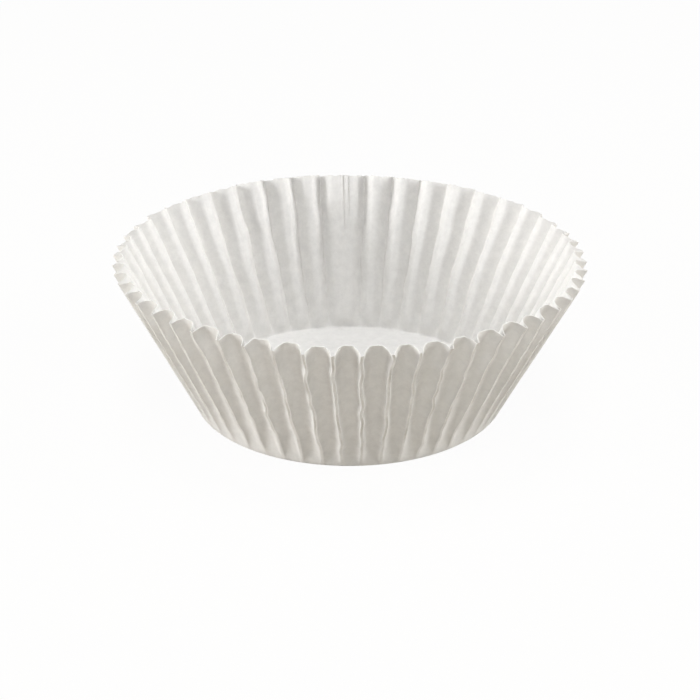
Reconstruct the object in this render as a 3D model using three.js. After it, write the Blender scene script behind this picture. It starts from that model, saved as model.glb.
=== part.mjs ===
// Paper baking cup: one disc of greaseproof paper, pressed into a shallow cup.
// The base is flat. The wall flares outward and is gathered into flutes.
// Neighbouring flutes meet in a sharp fold that points outward, and each bulges inward between folds.
// Units are millimetres. +Z is up, and the cup stands on z = 0 around the origin.

import * as THREE from 'three';

// Driving dimensions
const paper = 0.12;             // thickness of the pressed paper
const baseRadius = 26.1;        // flat part of the base
const cornerRadius = 0.5;       // bend between the base and the wall
const rimRadius = 39;           // rim at the folds, the widest part of the cup
const rimHeight = 25.4;         // height of the rim at the folds
const fluteStart = 1;           // plain strip of wall below the flutes, measured up the slope
const fluteDepth = 1.85;        // how far a flute bulges inward at the rim
const fluteRise = 0.78;         // how much higher the rim stands in the middle of a flute
const fluteCount = 51;          // flutes around the wall
const wideFlute = 1.6;          // width of the flute behind, where one pleat is pressed flat, in flutes
const wideDirection = -2;       // middle of the wide flute, degrees from +Y toward +X
const ovalStretch = 0.6;        // how far the rim is stretched along its long axis
const ovalDirection = -66;      // long axis of the rim, degrees from +Y toward +X

// The flutes of a pressed cup aren't all alike: these shares of a mean flute widen or narrow them.
const widerBehind = 0.107;      // behind, against in front
const widerAcross = 0.085;      // in front and behind, against both sides
const acrossTurn = 5;           // turn of the wider front and back, degrees from +Y toward +X
const narrowThirds = 0.031;     // behind and at the two thirds, against the places between them
const narrowQuarters = 0.072;   // at the four quarters, against the diagonals between them

// Fineness of the facets
const cornerRings = 2;          // rows of facets round the bend
const wallRows = [0.08, 0.22, 0.45, 0.72, 1];   // rows up the fluted part of the wall
const fluteColumns = [0, 0.1, 0.28, 0.5, 0.72, 0.9];   // columns across one flute, from fold to fold

const fullTurn = Math.PI * 2;

// Width of a flute that stands at an angle from +Y toward +X, as a share of a mean flute
function fluteShare(angle) {
  const behind = widerBehind * Math.cos(angle);
  const across = widerAcross * Math.cos(2 * (angle - THREE.MathUtils.degToRad(acrossTurn)));
  const thirds = narrowThirds * Math.cos(3 * angle);
  const quarters = narrowQuarters * Math.cos(4 * angle);
  return 1 + behind + across - thirds - quarters;
}

// Angle of every fold, going round from the wide flute
// The flutes passed by each small step add up, and a fold falls wherever the sum reaches the next flute.
function foldAngles() {
  const steps = 7200;
  const wideMiddle = THREE.MathUtils.degToRad(wideDirection);
  const passed = [0];
  for (let i = 0; i < steps; i += 1) {
    const angle = wideMiddle + ((i + 0.5) / steps) * fullTurn;
    passed.push(passed[i] + 1 / fluteShare(angle));
  }
  const flutes = fluteCount - 1 + wideFlute;
  const folds = [];
  let step = 0;
  for (let k = 0; k < fluteCount; k += 1) {
    const wanted = ((wideFlute / 2 + k) / flutes) * passed[steps];
    while (passed[step + 1] < wanted) step += 1;
    const between = (wanted - passed[step]) / (passed[step + 1] - passed[step]);
    folds.push(wideMiddle + ((step + between) / steps) * fullTurn);
  }
  return folds;
}

// Every column of the wall: its angle, and how far in it lies, from 0 at a fold to 1 in mid flute
function wallColumns() {
  const folds = foldAngles();
  const columns = [];
  for (let k = 0; k < fluteCount; k += 1) {
    const next = k + 1 < fluteCount ? folds[k + 1] : folds[0] + fullTurn;
    for (const across of fluteColumns) {
      const angle = THREE.MathUtils.lerp(folds[k], next, across);
      columns.push({ angle, inward: Math.sqrt(Math.sin(Math.PI * across)) });
    }
  }
  return columns;
}

// Side profile of the folds, from the flat base round the bend and straight up to the rim
// up is 0 as far as the foot of the flutes and 1 at the rim.
function foldProfile() {
  const run = rimRadius - baseRadius;
  const rise = rimHeight - cornerRadius;
  const bendTurn = Math.atan2(rise, run) + Math.asin(cornerRadius / Math.hypot(rise, run));
  const bendEnd = {
    radius: baseRadius + cornerRadius * Math.sin(bendTurn),
    height: cornerRadius * (1 - Math.cos(bendTurn)),
  };
  const wallLength = Math.hypot(rimRadius - bendEnd.radius, rimHeight - bendEnd.height);
  const plainShare = fluteStart / wallLength;
  const rows = [];
  for (let i = 0; i < cornerRings; i += 1) {
    const turn = (i / cornerRings) * bendTurn;
    rows.push({
      radius: baseRadius + cornerRadius * Math.sin(turn),
      height: cornerRadius * (1 - Math.cos(turn)),
      up: 0,
    });
  }
  rows.push({ ...bendEnd, up: 0 });
  for (const up of [0, ...wallRows]) {
    const along = plainShare + (1 - plainShare) * up;
    rows.push({
      radius: THREE.MathUtils.lerp(bendEnd.radius, rimRadius, along),
      height: THREE.MathUtils.lerp(bendEnd.height, rimHeight, along),
      up,
    });
  }
  return rows;
}

// One skin of the paper, as rows of points that end in a single point in the middle of the base
function skinGeometry(rows, columns) {
  const positions = [];
  const longAxis = THREE.MathUtils.degToRad(ovalDirection);
  for (const { radius, height, up } of rows) {
    const depth = Math.sqrt(up);
    for (const { angle, inward } of columns) {
      const oval = ovalStretch * up * Math.cos(2 * (angle - longAxis));
      const reach = radius + oval - fluteDepth * depth * inward;
      const z = height + fluteRise * depth * inward;
      positions.push(reach * Math.sin(angle), reach * Math.cos(angle), z);
    }
  }
  positions.push(0, 0, 0);
  const count = columns.length;
  const middle = rows.length * count;
  const faces = [];
  for (let c = 0; c < count; c += 1) {
    const d = (c + 1) % count;
    faces.push(middle, c, d);
    for (let r = 0; r + 1 < rows.length; r += 1) {
      const low = r * count;
      const high = low + count;
      faces.push(low + c, high + c, high + d);
      faces.push(low + c, high + d, low + d);
    }
  }
  const geometry = new THREE.BufferGeometry();
  geometry.setAttribute('position', new THREE.Float32BufferAttribute(positions, 3));
  geometry.setIndex(faces);
  geometry.computeVertexNormals();
  return geometry;
}

// The paper: an outer skin, an inner skin one thickness inside it, and the cut edge along the rim
function cupGeometry() {
  const rows = foldProfile();
  const columns = wallColumns();
  const outer = skinGeometry(rows, columns);
  const outerPoints = outer.getAttribute('position');
  const normals = outer.getAttribute('normal');
  const skinPoints = outerPoints.count;
  const positions = Array.from(outerPoints.array);
  const firstWallPoint = columns.length;
  for (let i = 0; i < skinPoints; i += 1) {
    const flat = i < firstWallPoint || i === skinPoints - 1;
    const outward = new THREE.Vector3().fromBufferAttribute(normals, i);
    if (flat) outward.set(0, 0, -1);
    const point = new THREE.Vector3().fromBufferAttribute(outerPoints, i);
    point.addScaledVector(outward, -paper);
    positions.push(point.x, point.y, point.z);
  }
  const skinFaces = Array.from(outer.index.array);
  const faces = [...skinFaces];
  for (let f = 0; f < skinFaces.length; f += 3) {
    const [a, b, c] = skinFaces.slice(f, f + 3);
    faces.push(a + skinPoints, c + skinPoints, b + skinPoints);
  }
  const rim = (rows.length - 1) * columns.length;
  for (let c = 0; c < columns.length; c += 1) {
    const here = rim + c;
    const next = rim + ((c + 1) % columns.length);
    faces.push(here, here + skinPoints, next + skinPoints);
    faces.push(here, next + skinPoints, next);
  }
  const geometry = new THREE.BufferGeometry();
  geometry.setAttribute('position', new THREE.Float32BufferAttribute(positions, 3));
  geometry.setIndex(faces);
  return geometry;
}

// The widest points of the rim are set evenly about the origin.
function centredOnOrigin(geometry) {
  geometry.computeBoundingBox();
  const middle = geometry.boundingBox.getCenter(new THREE.Vector3());
  geometry.translate(-middle.x, -middle.y, 0);
  geometry.computeVertexNormals();
  return geometry;
}

const greaseproofPaper = new THREE.MeshStandardMaterial({
  color: 0xece9e2,
  roughness: 0.8,
  metalness: 0,
  side: THREE.DoubleSide,
});

const pleatedCup = new THREE.Mesh(centredOnOrigin(cupGeometry()), greaseproofPaper);
pleatedCup.name = 'pleated_cup';

const bakingCup = new THREE.Group();
bakingCup.add(pleatedCup);

export default bakingCup;
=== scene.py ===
# %% [markdown]
# # A pressed paper baking cup
# A baking cup starts as a flat disc of greaseproof paper. A heated die presses the disc into a shallow
# cup: the middle stays flat, and the rest is gathered into flutes, because a wide circle of paper has to
# fit round a narrower rim. This lesson makes it the same way: a flat disc of rings first, and then one
# function that presses every point of the disc into the cup.

# %% Load the frame
import math

import bpy
import numpy as np
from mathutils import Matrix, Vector, noise


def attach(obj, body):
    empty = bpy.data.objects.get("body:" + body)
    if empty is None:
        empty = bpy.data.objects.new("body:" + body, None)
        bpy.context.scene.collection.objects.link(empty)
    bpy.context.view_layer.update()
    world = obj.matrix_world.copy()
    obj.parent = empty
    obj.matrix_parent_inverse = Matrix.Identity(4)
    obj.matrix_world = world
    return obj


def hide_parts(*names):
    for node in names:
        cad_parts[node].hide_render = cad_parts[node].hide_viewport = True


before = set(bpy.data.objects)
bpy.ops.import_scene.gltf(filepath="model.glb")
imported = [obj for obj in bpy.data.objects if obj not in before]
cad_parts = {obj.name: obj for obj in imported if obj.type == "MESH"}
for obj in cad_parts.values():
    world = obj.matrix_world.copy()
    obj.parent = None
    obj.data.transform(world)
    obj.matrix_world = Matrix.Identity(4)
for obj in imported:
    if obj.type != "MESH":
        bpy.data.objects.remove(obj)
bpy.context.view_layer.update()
scene = bpy.context.scene

# %% [markdown]
# ## Sizes
# A few sizes make the cup: the flat base, the bend round it, the rim, and the number and depth of the
# flutes. They are in metres, as all of Blender's lengths are. Directions are angles from +Y, which is
# behind the cup, toward +X.

# %% Driving sizes
MM = 0.001
FULL_TURN = 2 * math.pi
PAPER = 0.10 * MM
BASE_RADIUS = 26.1 * MM
BEND_RADIUS = 0.5 * MM
RIM_RADIUS = 39.0 * MM
RIM_HEIGHT = 25.4 * MM
OVAL_STRETCH = 0.6 * MM
OVAL_DIRECTION = math.radians(-66)
FLUTE_COUNT = 51
FLUTE_START = 1.0 * MM
FLUTE_DEPTH = 1.85 * MM
FLUTE_RISE = 0.78 * MM
print("rim across, mm:", RIM_RADIUS * 2 / MM, "with", FLUTE_COUNT, "flutes")

# %% [markdown]
# ## Where the folds fall
# The flutes of a real cup aren't all alike. They are wider behind and in front than at the sides, and
# one flute behind is 1.6 times as wide, because a pleat there is pressed flat. A share for each
# direction says how wide a flute is there. The flutes passed by each small step round the cup add up,
# and a fold falls wherever the sum reaches the next flute.

# %% Width of a flute in each direction
WIDE_FLUTE = 1.6
WIDE_DIRECTION = math.radians(-2)
WIDER_BEHIND = 0.107
WIDER_ACROSS = 0.085
ACROSS_TURN = math.radians(5)
NARROW_THIRDS = 0.031
NARROW_QUARTERS = 0.072


def flute_share(angle):
    """Width of a flute that stands at an angle, as a share of a mean flute."""
    behind = WIDER_BEHIND * math.cos(angle)
    across = WIDER_ACROSS * math.cos(2 * (angle - ACROSS_TURN))
    thirds = NARROW_THIRDS * math.cos(3 * angle)
    quarters = NARROW_QUARTERS * math.cos(4 * angle)
    return 1 + behind + across - thirds - quarters


for where, degrees in (("behind", 0), ("right", 90), ("in front", 180), ("left", 270)):
    print("share of a mean flute", where, round(flute_share(math.radians(degrees)), 2))

# %% Angle of every fold
RIM_ASKEW = math.radians(0.9)
BASE_ASKEW = math.radians(1.4)


def askew(angle, most):
    """Turn of a place in the front of the cup, where the paper sits a little askew in the die."""
    return -most * ((1 - np.cos(angle)) / 2) ** 3


def fold_angles():
    steps = 7200
    passed = [0.0]
    for i in range(steps):
        passed.append(passed[-1] + 1 / flute_share(WIDE_DIRECTION + (i + 0.5) / steps * FULL_TURN))
    flutes = FLUTE_COUNT - 1 + WIDE_FLUTE
    wanted = (WIDE_FLUTE / 2 + np.arange(FLUTE_COUNT)) / flutes * passed[-1]
    place = np.interp(wanted, passed, np.arange(steps + 1))
    angles = WIDE_DIRECTION + place / steps * FULL_TURN
    return angles + askew(angles, RIM_ASKEW)


folds = fold_angles()
print("widest and narrowest flute, degrees:",
      np.degrees(folds[0] + FULL_TURN - folds[-1]).round(1), np.degrees(np.diff(folds)).min().round(1))

# %% [markdown]
# ## Side profile
# Seen from the side, a fold runs along the flat base, round a small bend and straight up to the rim. The
# profile is written as a function of the distance along the paper, because paper bends but doesn't
# stretch: every ring of the disc keeps its distance from the base.

# %% From a distance along the paper to a radius and a height
run = RIM_RADIUS - BASE_RADIUS
rise = RIM_HEIGHT - BEND_RADIUS
BEND_TURN = math.atan2(rise, run) + math.asin(BEND_RADIUS / math.hypot(rise, run))
BEND_LENGTH = BEND_RADIUS * BEND_TURN
BEND_END = (BASE_RADIUS + BEND_RADIUS * math.sin(BEND_TURN), BEND_RADIUS * (1 - math.cos(BEND_TURN)))
WALL_LENGTH = math.hypot(RIM_RADIUS - BEND_END[0], RIM_HEIGHT - BEND_END[1])
SLANT = BEND_LENGTH + WALL_LENGTH


def fold_profile(along):
    """Radius and height of a fold at a distance along the paper from the edge of the flat base."""
    turn = np.minimum(along / BEND_RADIUS, BEND_TURN)
    wall = np.maximum(along - BEND_LENGTH, 0)
    radius = BASE_RADIUS + BEND_RADIUS * np.sin(turn) + wall * math.cos(BEND_TURN)
    height = BEND_RADIUS * (1 - np.cos(turn)) + wall * math.sin(BEND_TURN)
    return radius, height


print("slope of the wall, degrees:", round(math.degrees(BEND_TURN), 1))
print("flat disc across, mm:", round((BASE_RADIUS + SLANT) * 2 / MM, 1))

# %% [markdown]
# ## The flat disc
# The disc could be a grid, but its edges should run up the folds and round the rings. So a circle gives
# the edge of the flat base, and each further ring is extruded from the last and scaled outward. Each
# spoke of the disc is one place across one flute. The spokes will stand closer together at the folds,
# and that is settled when the disc is pressed: here a spoke just has its number.

# %% Spokes and rings of the disc
HALF_SPOKES = (0, 0.016, 0.036, 0.062, 0.094, 0.13, 0.17, 0.21, 0.25, 0.3, 0.36, 0.43)
PLAIN_SPOKES = HALF_SPOKES + (0.5,) + tuple(1 - across for across in reversed(HALF_SPOKES[1:]))
WIDE_SPOKES = (0, 0.01, 0.024, 0.042, 0.063, 0.087, 0.115, 0.145, 0.18, 0.22, 0.27, 0.32, 0.36, 0.4, 0.43,
               0.46, 0.49, 0.52, 0.55, 0.58, 0.61, 0.65, 0.69, 0.74, 0.79, 0.83, 0.865, 0.895, 0.92,
               0.942, 0.96, 0.976, 0.99)
WIDE = FLUTE_COUNT - 1
spokes = [(flute, across) for flute in range(WIDE) for across in PLAIN_SPOKES]
spokes += [(WIDE, across) for across in WIDE_SPOKES]
SPOKE_FLUTE = np.array([flute for flute, across in spokes])
SPOKE_ACROSS = np.array([across for flute, across in spokes])

BEND_RINGS = 4
WALL_RINGS = 30
ring_places = np.concatenate([np.arange(BEND_RINGS) / BEND_RINGS * BEND_LENGTH,
                              BEND_LENGTH + np.arange(WALL_RINGS + 1) / WALL_RINGS * WALL_LENGTH])
print(len(spokes), "spokes and", len(ring_places), "rings")


# %% Extrude and scale the rings, then fill the base
def flat_disc():
    bpy.ops.object.select_all(action="DESELECT")
    bpy.ops.mesh.primitive_circle_add(vertices=len(spokes), radius=BASE_RADIUS, fill_type="NOTHING")
    disc = bpy.context.object
    disc.name = "pressed_paper_cup"
    bpy.ops.object.mode_set(mode="EDIT")
    bpy.ops.mesh.select_mode(type="EDGE")
    bpy.ops.mesh.select_all(action="SELECT")
    ring = BASE_RADIUS
    for place in ring_places[1:]:
        bpy.ops.mesh.extrude_edges_move()
        wider = (BASE_RADIUS + place) / ring
        bpy.ops.transform.resize(value=(wider, wider, 1), center_override=(0, 0, 0))
        ring = BASE_RADIUS + place
    bpy.ops.object.mode_set(mode="OBJECT")
    for edge in disc.data.edges:
        edge.select = max(edge.vertices) < len(spokes)
    bpy.ops.object.mode_set(mode="EDIT")
    bpy.ops.mesh.edge_face_add()
    bpy.ops.mesh.select_all(action="SELECT")
    bpy.ops.mesh.normals_make_consistent(inside=False)
    bpy.ops.object.mode_set(mode="OBJECT")
    if disc.data.polygons[-1].normal.z > 0:
        # The underside becomes the outside of the cup, so the faces have to look down.
        disc.data.flip_normals()
    return disc


cup = flat_disc()
print("disc:", len(cup.data.vertices), "points,", len(cup.data.polygons), "faces")

# %% [markdown]
# ## Unevenness
# No two flutes of a pressed cup are alike. Each fold bends a little and kinks on its way up, and the
# paper between folds is faintly crumpled. Smooth noise gives all of this. It makes no random draws, so
# every run is the same, and each use of it reads another layer.

# %% Smooth noise and smooth steps
SEED = 7.3
NOISE_GAIN = 1.6


def smooth_noise(x, y, layer=0.0):
    """Even noise between about -1 and 1 for arrays of places."""
    places = np.broadcast_arrays(np.asarray(x, float), np.asarray(y, float), np.asarray(layer, float))
    flat = zip(*(place.ravel() for place in places))
    values = [noise.noise(Vector((a + SEED, b - SEED, c))) for a, b, c in flat]
    return np.array(values).reshape(places[0].shape) * NOISE_GAIN


def smooth_step(low, high, value):
    """0 up to low, 1 from high on, and a smooth way between."""
    t = np.clip((value - low) / (high - low), 0, 1)
    return t * t * (3 - 2 * t)


print("a few values of the noise:", smooth_noise(np.arange(4) * 0.7, 0.5).round(2))

# %% [markdown]
# The front of the cup isn't quite like the back: its folds kink more and its flutes are rounder. One
# function says how far a direction belongs to the back, and the others mix by it.

# %% How a fold strays
SLOW_SWAY = 0.22 * MM
SLOW_LENGTH = 7.0 * MM
KINK_SWAY = 0.24 * MM
KINK_LENGTH = 2.4 * MM
KINKS_LOST_BEHIND = 0.5
SWAY_GROWTH = 4.0 * MM


def belongs_behind(angle):
    """0 in front, 1 behind, and about 0.84 at both sides."""
    return smooth_step(-0.6, 0.2, np.cos(angle))


def fold_wander(fold, along):
    """How far a fold strays sideways on its way up, in metres: slow bends and a few short kinks."""
    slow = SLOW_SWAY * smooth_noise(fold * 3.7, along / SLOW_LENGTH)
    kinks = KINK_SWAY * smooth_noise(fold * 5.3, along / KINK_LENGTH, layer=4.0)
    kinks *= 1 - KINKS_LOST_BEHIND * belongs_behind(folds[fold])
    free = np.clip((along - BEND_LENGTH) / SWAY_GROWTH, 0, 1)
    return (slow + kinks) * free


halfway = fold_wander(np.arange(FLUTE_COUNT), np.full(FLUTE_COUNT, SLANT / 2))
print("most that a fold strays halfway up, mm:", np.abs(halfway / MM).max().round(2))

# %% A ragged rim and crumpled paper
RAG = 0.15 * MM
RAG_OF_FLUTE = 0.16 * MM
CRUMPLE = 0.045 * MM
CRUMPLE_LENGTH = 2.4 * MM
FINE_CRUMPLE = 0.02 * MM
FINE_CRUMPLE_LENGTH = 0.9 * MM


def ragged_rim(flute, across, up):
    """How much further the paper reaches near the rim, where no edge is cut quite evenly."""
    ragged = RAG * smooth_noise(flute * 0.83, across * 8.5, layer=9.0)
    ragged += RAG_OF_FLUTE * smooth_noise(flute * 2.9, 2.0, layer=5.0)
    return ragged * smooth_step(0.85, 1, up)


def crumpled(angle, along, from_fold, up):
    """How far the paper between the folds lies outward of its smooth shape."""
    crumple = CRUMPLE * smooth_noise(angle * 14, along / CRUMPLE_LENGTH, layer=1.0)
    crumple += FINE_CRUMPLE * smooth_noise(angle * 45, along / FINE_CRUMPLE_LENGTH, layer=2.0)
    return crumple * smooth_step(0.02, 0.15, up) * np.clip(from_fold / MM, 0, 1)


# %% [markdown]
# ## The shape of a flute
# The folds are sharp and point outward, and each flute bulges inward between them. In front the flute
# leaves its fold steeply and rounds off into a dome. Behind it leaves in a nearly straight flank that
# runs to a flatter back, and the flank narrows toward the base as the cup does.

# %% Section across a flute
DOME_FLANK = (0.28 * MM, 1.75 * MM)
DOME_ROUNDING = 0.65
FLAT_FLANK_START = 0.12 * MM
FLAT_FLANK_END_AT_SIDES = 1.40 * MM
FLAT_FLANK_END_BEHIND = 2.05 * MM
FLAT_FLANK_ROUNDING = 0.12


def flute_section(from_fold, angle, radius):
    """Share of the flute's depth at a distance from the nearest fold."""
    start, end = DOME_FLANK
    t = np.clip((from_fold - start) / (end - start), 0, 1)
    dome = (1 - (1 - t) ** 2) ** DOME_ROUNDING

    start = FLAT_FLANK_START
    more = FLAT_FLANK_END_BEHIND - FLAT_FLANK_END_AT_SIDES
    end = FLAT_FLANK_END_AT_SIDES + more * smooth_step(0.1, 0.75, np.cos(angle))
    t = np.clip((from_fold * RIM_RADIUS / radius - start) / (end - start), 0, 1)
    flat = (1 - FLAT_FLANK_ROUNDING) * t + FLAT_FLANK_ROUNDING * np.sin(math.pi / 2 * t)
    return dome + (flat - dome) * belongs_behind(angle)


for place in (0.5, 1.0, 1.5, 2.0):
    shares = [flute_section(place * MM, angle, RIM_RADIUS).round(2) for angle in (math.pi, 0)]
    print("depth at", place, "mm from a fold, in front and behind:", shares)

# %% [markdown]
# The depth grows quickly above the bend and slowly toward the rim, because that is how the spare paper
# grows. The wide flute behind has a few fine pleats as well, where the paper was pressed flat.

# %% Depth up the wall, and the pleats of the wide flute
DEPTH_POWER_IN_FRONT = 0.5
DEPTH_POWER_BEHIND = 0.26
DEPTH_SPREAD = 0.10
WIDE_PLEATS = ((0.45, 0.035, 0.132), (0.52, 0.02, -0.096), (0.6, 0.03, 0.072), (0.655, 0.018, -0.096))


def depth_up_wall(flute, angle, up):
    """Share of the full depth that a flute has at a share of the way up the wall."""
    more = DEPTH_POWER_BEHIND - DEPTH_POWER_IN_FRONT
    power = DEPTH_POWER_IN_FRONT + more * belongs_behind(angle)
    return up ** power * (1 + DEPTH_SPREAD * smooth_noise(flute * 4.1, up * 2.0, layer=7.0))


def wide_flute_pleats(flute, across, up):
    """Share of the depth that the fine pleats add: each has its place across, its width and its depth."""
    pleats = sum(depth * np.exp(-((across - place) / width) ** 2) for place, width, depth in WIDE_PLEATS)
    return np.where(flute == WIDE, pleats * smooth_step(0.35, 0.95, up), 0)


print(len(WIDE_PLEATS), "fine pleats in the wide flute")

# %% [markdown]
# Along each fold the paper is creased: pinched a little inward, and darkened by painted shade, the shade
# that falls in the crease painted into the paper's colour. The crease is kept as an attribute of the
# points, so that the paper's material can read it. It comes and goes on its way up.

# %% The crease along a fold
CREASE_WIDTH = 0.16 * MM
CREASE_DEPTH = 0.06 * MM
CREASE_LOST_BEHIND = 0.8
CREASE_PATCH_LENGTH = 3.0 * MM


def crease_strength(flute, across, angle, along, from_fold, up):
    """0 away from the folds, and up to 1 on them."""
    nearest_fold = np.rint(flute + across)
    crease = np.exp(-(from_fold / CREASE_WIDTH) ** 2) * smooth_step(0.02, 0.3, up)
    crease *= 1 - CREASE_LOST_BEHIND * belongs_behind(angle)
    patches = 0.6 + 0.9 * smooth_noise(nearest_fold * 1.7, along / CREASE_PATCH_LENGTH, layer=6.0)
    return crease * np.clip(patches, 0.1, 1)


# %% [markdown]
# ## Pressing the disc
# Every point of the disc knows how far along the paper it lies from the base, which flute it is in and
# how far across that flute. The press carries it to the side profile of the folds, and then inward and
# up by the depth of the flute.

# %% From a place on the disc to a place on the cup
def press(points):
    """Pressed places of the points, and the strength of the crease at each."""
    disc_radius = np.hypot(points[:, 0], points[:, 1])
    turn = np.arctan2(points[:, 0], points[:, 1]) / FULL_TURN * len(spokes)
    spoke = np.rint(turn).astype(int) % len(spokes)
    flute, across = SPOKE_FLUTE[spoke], SPOKE_ACROSS[spoke]
    along = disc_radius - BASE_RADIUS
    up = np.clip((along - FLUTE_START) / (SLANT - FLUTE_START), 0, 1)
    along = along + ragged_rim(flute, across, up)

    radius, height = fold_profile(along)
    next_fold = (flute + 1) % FLUTE_COUNT
    start = folds[flute] + fold_wander(flute, along) / radius
    end = folds[next_fold] + FULL_TURN * (next_fold == 0) + fold_wander(next_fold, along) / radius
    angle = start + (end - start) * across
    angle = angle + askew(angle, BASE_ASKEW) * (1 - up)
    from_fold = np.minimum(across, 1 - across) * (end - start) * radius

    inward = flute_section(from_fold, angle, radius) * depth_up_wall(flute, angle, up)
    inward += wide_flute_pleats(flute, across, up)
    crumple = crumpled(angle, along, from_fold, up)
    crease = crease_strength(flute, across, angle, along, from_fold, up)
    oval = OVAL_STRETCH * up * np.cos(2 * (angle - OVAL_DIRECTION))
    reach = radius + oval - FLUTE_DEPTH * inward - CREASE_DEPTH * crease + crumple
    lifted = height + FLUTE_RISE * inward - 0.5 * crumple
    return np.stack([reach * np.sin(angle), reach * np.cos(angle), lifted], 1), crease


points = np.empty(len(cup.data.vertices) * 3)
cup.data.vertices.foreach_get("co", points)
pressed, crease = press(points.reshape(-1, 3))
cup.data.vertices.foreach_set("co", pressed.ravel())
cup.data.attributes.new("creased", "FLOAT", "POINT").data.foreach_set("value", crease)
cup.data.update()
print("pressed cup, mm:", (np.ptp(pressed, 0) / MM).round(2))

# %% [markdown]
# ## Thickness
# The sheet so far is the outer face of the paper. A Solidify modifier adds the inner face and the cut
# edge of the rim, one thickness inward, and is applied. Shading is smooth where faces meet at less than
# 62 degrees, so the cut edge stays sharp.

# %% Give the paper its thickness
SHARPEST_SMOOTH = math.radians(62)
bpy.context.view_layer.objects.active = cup
cup.select_set(True)
thickness = cup.modifiers.new("paper thickness", "SOLIDIFY")
thickness.thickness = PAPER
thickness.offset = -1
thickness.use_quality_normals = True
bpy.ops.object.modifier_apply(modifier=thickness.name)
bpy.ops.object.shade_smooth_by_angle(angle=SHARPEST_SMOOTH)
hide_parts("pleated_cup")
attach(cup, "root")
print("triangles:", sum(len(face.vertices) - 2 for face in cup.data.polygons))

# %% [markdown]
# ## Paper
# Greaseproof paper is matt and a little translucent. Its fibres give it a fine mottle: clouds of
# slightly thicker and thinner paper, and a soft tooth that shows when light grazes it. One small class
# lets the shader's maths be written as plain expressions.

# %% A small class for shader maths
class Socket:
    """A node's output, with arithmetic that adds Math nodes."""

    def __init__(self, tree, output):
        self.tree, self.output = tree, output

    def node(self, kind, settings=None, inputs=None, output=0):
        made = self.tree.nodes.new(kind)
        for name, value in (settings or {}).items():
            setattr(made, name, value)
        for name, value in (inputs or {}).items():
            if isinstance(value, Socket):
                self.tree.links.new(value.output, made.inputs[name])
            else:
                made.inputs[name].default_value = value
        return Socket(self.tree, made.outputs[output])

    def math(self, operation, first, second):
        return self.node("ShaderNodeMath", {"operation": operation}, {0: first, 1: second})

    def __add__(self, other):
        return self.math("ADD", self, other)

    def __sub__(self, other):
        return self.math("SUBTRACT", self, other)

    def __rsub__(self, other):
        return self.math("SUBTRACT", other, self)

    def __mul__(self, other):
        return self.math("MULTIPLY", self, other)

    __radd__ = __add__
    __rmul__ = __mul__


def mixed_colour(share, first, second):
    """A colour between two others."""
    return share.node("ShaderNodeMix", {"data_type": "RGBA"}, {0: share, 6: first, 7: second}, 2)


def bare_tree(owner):
    """The owner's node tree, emptied."""
    owner.use_nodes = True
    owner.node_tree.nodes.clear()
    return owner.node_tree


def close_tree(shader, kind):
    """Link a finished shader to an output node of its tree."""
    surface = shader.tree.nodes.new(kind)
    shader.tree.links.new(shader.output, surface.inputs["Surface"])
    print(kind, "closes a tree of", len(shader.tree.nodes), "nodes")


# %% [markdown]
# The paper's face is a plain matt shader, and a Translucent shader beside it passes light from behind.
# The clumps of fibre tint the light that passes, so it comes through in patches.

# %% Colours and shares of the paper
DULL_PAPER = (0.875, 0.868, 0.85, 1)
BRIGHT_PAPER = (0.92, 0.916, 0.905, 1)
# The crease colour and its share are painted shade: the shade that falls in the folds, painted into the
# paper's colour.
CREASE_PAINTED_SHADE = (0.50, 0.46, 0.40, 1)
CREASE_SHADE_SHARE = 0.55
DENSE_FIBRES = (0.48, 0.43, 0.35, 1)
LOOSE_FIBRES = (0.92, 0.87, 0.78, 1)
CLUMP_CONTRAST = 3.4
CLUMP_LOSS = 1.2
THROUGH = 0.20
TOOTH_STRENGTH = 0.24
TOOTH_HEIGHT = 0.12 * MM
print("share of the Translucent shader:", THROUGH)


# %% Mottled greaseproof paper
def greaseproof_paper():
    material = bpy.data.materials.new("greaseproof_paper")
    tree = bare_tree(material)
    place = Socket(tree, tree.nodes.new("ShaderNodeTexCoord").outputs["Object"])

    def cloud(scale, detail, roughness=0.5):
        return place.node("ShaderNodeTexNoise", None,
                          {"Vector": place, "Scale": scale, "Detail": detail, "Roughness": roughness})

    clouds = cloud(scale=420, detail=3)
    fibres = cloud(scale=1700, detail=4, roughness=0.65)
    mottled = mixed_colour(clouds * 0.6 + fibres * 0.4, DULL_PAPER, BRIGHT_PAPER)
    creased = place.node("ShaderNodeAttribute", {"attribute_name": "creased"}, None, "Fac")
    # Painted shade: the crease attribute darkens the colour along the folds.
    colour = mixed_colour(creased * CREASE_SHADE_SHARE, mottled, CREASE_PAINTED_SHADE)
    tooth = clouds * 0.5 + fibres * 0.5
    bump = place.node("ShaderNodeBump", None,
                      {"Strength": TOOTH_STRENGTH, "Distance": TOOTH_HEIGHT, "Height": tooth})
    face = place.node("ShaderNodeBsdfPrincipled", None,
                      {"Base Color": colour, "Roughness": 0.62, "Specular IOR Level": 0.35, "Normal": bump})
    clumps = cloud(scale=620, detail=6, roughness=0.78)
    lit_through = mixed_colour(clumps * CLUMP_CONTRAST - CLUMP_LOSS, DENSE_FIBRES, LOOSE_FIBRES)
    through = place.node("ShaderNodeBsdfTranslucent", None, {"Color": lit_through, "Normal": bump})
    paper = place.node("ShaderNodeMixShader", None, {0: THROUGH, 1: face, 2: through})
    close_tree(paper, "ShaderNodeOutputMaterial")
    return material


cup.data.materials.clear()
cup.data.materials.append(greaseproof_paper())

# %% [markdown]
# ## Camera
# The camera stands in front of the cup, eight rim radii away and about 26 degrees above the table, and
# looks along +Y. It aims a little right of and above the middle of the base. Its lens is worked out from
# the focal length in pixels of a picture that is 700 pixels wide.

# %% Place the camera
FRAME_WIDTH = 700
FOCAL_PIXELS = 1804
SENSOR_WIDTH = 36
CAMERA_DISTANCE = 8 * RIM_RADIUS
CAMERA_ELEVATION = math.radians(25.69)
AIM_RIGHT = 0.0037 * RIM_RADIUS
AIM_UP = 0.1836 * RIM_RADIUS

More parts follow.
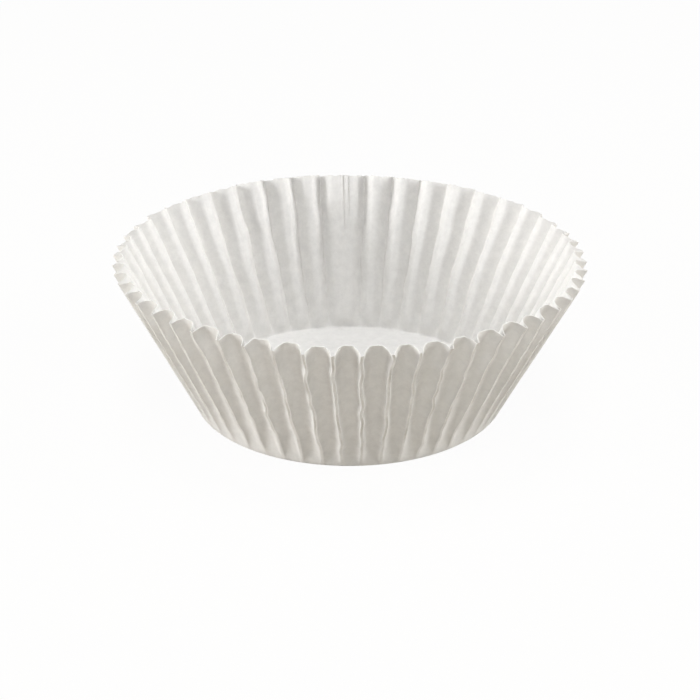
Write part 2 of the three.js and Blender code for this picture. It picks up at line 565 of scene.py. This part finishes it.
camera_data = bpy.data.cameras.new("photo_camera")
camera_data.sensor_width = SENSOR_WIDTH
camera_data.lens = FOCAL_PIXELS / FRAME_WIDTH * SENSOR_WIDTH
camera_data.clip_start = 0.01
camera = bpy.data.objects.new("photo_camera", camera_data)
scene.collection.objects.link(camera)
forward = Vector((0, math.cos(CAMERA_ELEVATION), -math.sin(CAMERA_ELEVATION)))
upward = Vector((0, math.sin(CAMERA_ELEVATION), math.cos(CAMERA_ELEVATION)))
camera.location = Vector((AIM_RIGHT, 0, 0)) + upward * AIM_UP - forward * CAMERA_DISTANCE
camera.rotation_euler = forward.to_track_quat("-Z", "Y").to_euler()
scene.camera = camera
print("lens, mm:", round(camera_data.lens, 1))

# %% [markdown]
# ## Table and light
# The cup stands on a table in a white room. The table is warm and a little dark, and so is the light
# that it throws back up at the wall. To the camera it glows nearly white instead.

# %% White table
TABLE_SIZE = 4
TABLE_COLOUR = (0.68, 0.65, 0.60, 1)
TABLE_GLOW = 0.95
WHITE = (1, 1, 1, 1)


def white_table():
    bpy.ops.object.select_all(action="DESELECT")
    bpy.ops.mesh.primitive_plane_add(size=TABLE_SIZE, location=(0, 0, 0))
    table = bpy.context.object
    table.name = "table"
    material = bpy.data.materials.new("white_table")
    tree = bare_tree(material)
    seen = Socket(tree, tree.nodes.new("ShaderNodeLightPath").outputs["Is Camera Ray"])
    matt = seen.node("ShaderNodeBsdfDiffuse", None, {"Color": TABLE_COLOUR})
    glow = seen.node("ShaderNodeEmission", None, {"Color": WHITE, "Strength": 1.0})
    mixed = seen.node("ShaderNodeMixShader", None, {0: seen * TABLE_GLOW, 1: matt, 2: glow})
    close_tree(mixed, "ShaderNodeOutputMaterial")
    table.data.materials.append(material)


white_table()


# %% White room
def white_room():
    """A world that is white to the camera and sheds no light."""
    world = bpy.data.worlds.new("white_room")
    tree = bare_tree(world)
    seen = Socket(tree, tree.nodes.new("ShaderNodeLightPath").outputs["Is Camera Ray"])
    close_tree(seen.node("ShaderNodeBackground", None, {"Color": WHITE, "Strength": seen}),
               "ShaderNodeOutputWorld")
    scene.world = world


white_room()

# %% [markdown]
# Six soft boxes give the light: a low and a higher one at each side, one high in front and one overhead.
# The low ones graze the wall from the side, so its flutes show.

# %% Soft boxes, each by its direction seen from the cup: azimuth from the camera's side toward +X
LIGHT_DISTANCE = 0.85
SOFT_BOXES = {
    "overhead": {"azimuth": 180, "elevation": 80, "size": 0.4, "watts": 2.7},
    "front": {"azimuth": 0, "elevation": 60, "size": 0.4, "watts": 3.2},
    "low left": {"azimuth": -75, "elevation": 12, "size": 0.3, "watts": 4.6},
    "low right": {"azimuth": 80, "elevation": 12, "size": 0.3, "watts": 3.3},
    "left": {"azimuth": -92, "elevation": 34, "size": 0.4, "watts": 1.4},
    "right": {"azimuth": 92, "elevation": 34, "size": 0.4, "watts": 2.2},
}


def soft_box(name, azimuth, elevation, size, watts):
    turn, lift = math.radians(azimuth), math.radians(elevation)
    toward = Vector((math.sin(turn) * math.cos(lift), -math.cos(turn) * math.cos(lift), math.sin(lift)))
    light = bpy.data.lights.new(name, "AREA")
    light.shape = "DISK"
    light.size = size
    light.energy = watts
    box = bpy.data.objects.new(name, light)
    box.location = toward * LIGHT_DISTANCE
    box.rotation_euler = (-toward).to_track_quat("-Z", "Y").to_euler()
    scene.collection.objects.link(box)


for name, box in SOFT_BOXES.items():
    soft_box(name, **box)
print("light in all, watts:", round(sum(box["watts"] for box in SOFT_BOXES.values()), 1))

# %% [markdown]
# ## Close
# The view transform is set to Standard.

# %% Finish
scene.view_settings.view_transform = "Standard"
